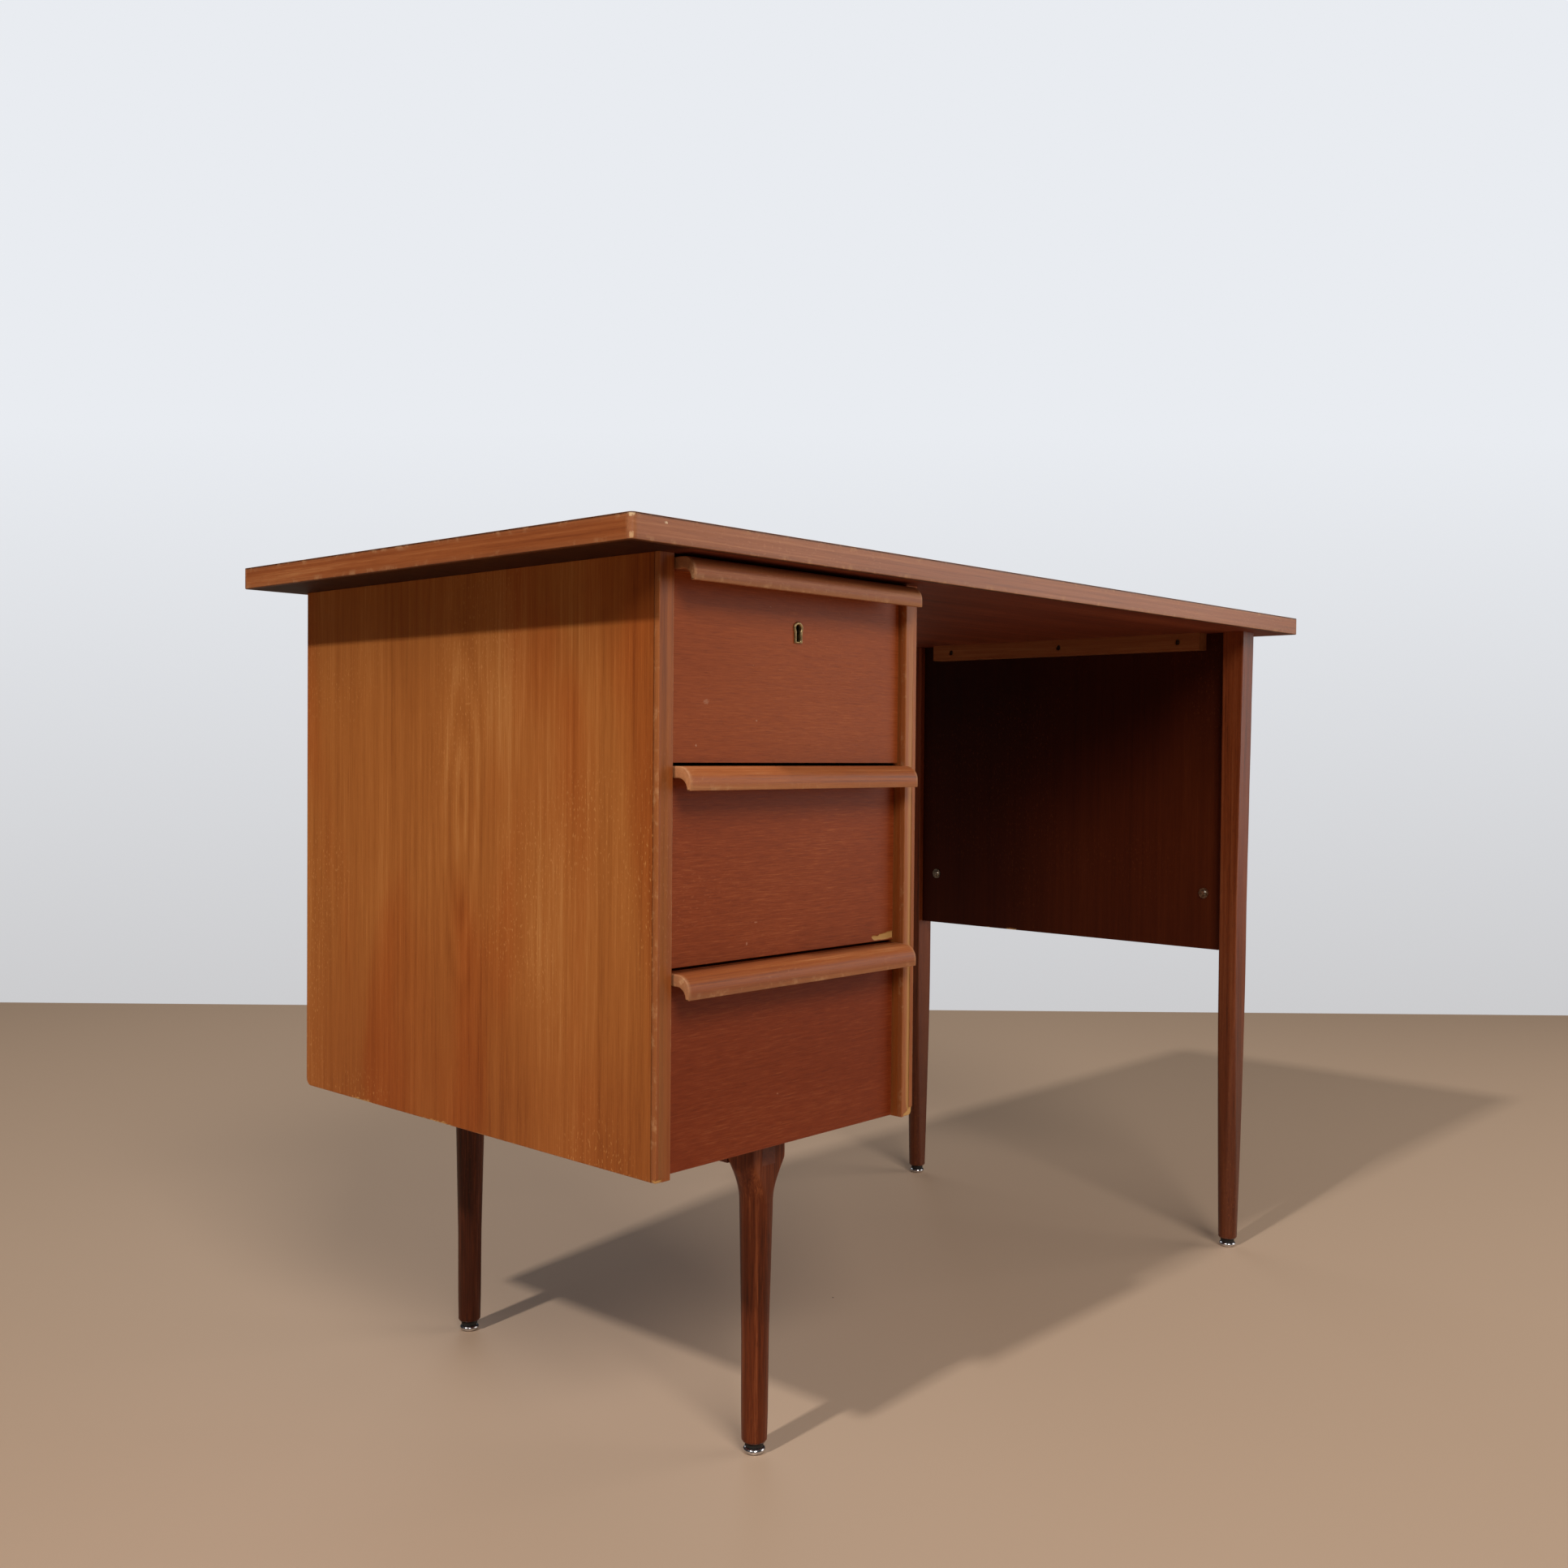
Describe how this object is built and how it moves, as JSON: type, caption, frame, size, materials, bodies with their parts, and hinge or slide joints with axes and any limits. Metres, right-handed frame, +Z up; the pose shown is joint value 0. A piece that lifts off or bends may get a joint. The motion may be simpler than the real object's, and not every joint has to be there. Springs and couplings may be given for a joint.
{
  "type": "writing desk",
  "caption": "Teak writing desk with a drawer pedestal on short turned legs, an end panel between tall tapered legs, full-width lip pulls and a lockable top drawer.",
  "frame": {"origin": "on the floor below the middle of the desktop", "axes": "+X from the drawer pedestal towards the end panel, +Y from the front to the back, +Z up"},
  "size_m": [1.062, 0.5314, 0.745],
  "materials": {
    "teak": "oiled teak veneer, warm golden brown",
    "teak_pale": "oiled solid teak, lighter tan brown",
    "teak_dark": "satin dark red-brown teak",
    "birch": "bare pale wood, light satin lacquer",
    "steel": "plain zinc-grey steel",
    "chrome": "bright chromed steel",
    "brass": "satin aged brass",
    "black_plastic": "matte black"
  },
  "bodies": {
    "desk": {"desktop_core": "teak", "desktop_top_veneer": "teak", "desktop_front_band": "teak", "desktop_back_band": "teak", "desktop_left_band": "teak", "desktop_right_band": "teak", "pedestal_left_side": "teak", "pedestal_left_lipping": "teak_pale", "pedestal_right_side": "teak", "pedestal_right_lipping": "teak_pale", "pedestal_bottom": "teak_dark", "pedestal_back": "teak", "pedestal_left_cleat": "birch", "pedestal_right_cleat": "birch", "top_drawer_runners": "birch", "middle_drawer_runners": "birch", "bottom_drawer_runners": "birch", "runner_screws": "steel", "cleat_screws": "steel", "desktop_screws": "steel", "pedestal_leg_rail": "teak_dark", "rail_screws": "steel", "pedestal_front_leg": "teak_dark", "pedestal_back_leg": "teak_dark", "right_front_leg": "teak_dark", "right_back_leg": "teak_dark", "end_panel": "teak_dark", "end_panel_cleat": "birch", "end_panel_dowels": "birch", "leg_top_dowels": "birch", "connector_bolts": "steel", "connector_nuts": "steel", "glide_discs": "chrome", "glide_collars": "black_plastic", "lock_striker": "brass", "striker_screws": "brass"},
    "top_drawer": {"top_drawer_front": "teak", "top_drawer_pull": "teak_pale", "top_drawer_left_side": "birch", "top_drawer_right_side": "birch", "top_drawer_back": "birch", "top_drawer_bottom": "birch", "lock_escutcheon": "brass", "lock_case": "steel", "lock_screws": "brass"},
    "middle_drawer": {"middle_drawer_front": "teak", "middle_drawer_pull": "teak_pale", "middle_drawer_left_side": "birch", "middle_drawer_right_side": "birch", "middle_drawer_back": "birch", "middle_drawer_bottom": "birch"},
    "bottom_drawer": {"bottom_drawer_front": "teak", "bottom_drawer_pull": "teak_pale", "bottom_drawer_left_side": "birch", "bottom_drawer_right_side": "birch", "bottom_drawer_back": "birch", "bottom_drawer_bottom": "birch"},
    "lock_bolt": {"lock_bolt": "brass"}
  },
  "joints": [
    {"name": "top_drawer_slide", "type": "slide", "parent": "desk", "child": "top_drawer", "axis": [0, -1, 0], "range_m": [0, 0.33]},
    {"name": "middle_drawer_slide", "type": "slide", "parent": "desk", "child": "middle_drawer", "axis": [0, -1, 0], "range_m": [0, 0.33]},
    {"name": "bottom_drawer_slide", "type": "slide", "parent": "desk", "child": "bottom_drawer", "axis": [0, -1, 0], "range_m": [0, 0.33]},
    {"name": "lock_bolt_slide", "type": "slide", "parent": "top_drawer", "child": "lock_bolt", "axis": [0, 0, 1], "range_m": [0, 0.0075]}
  ]
}
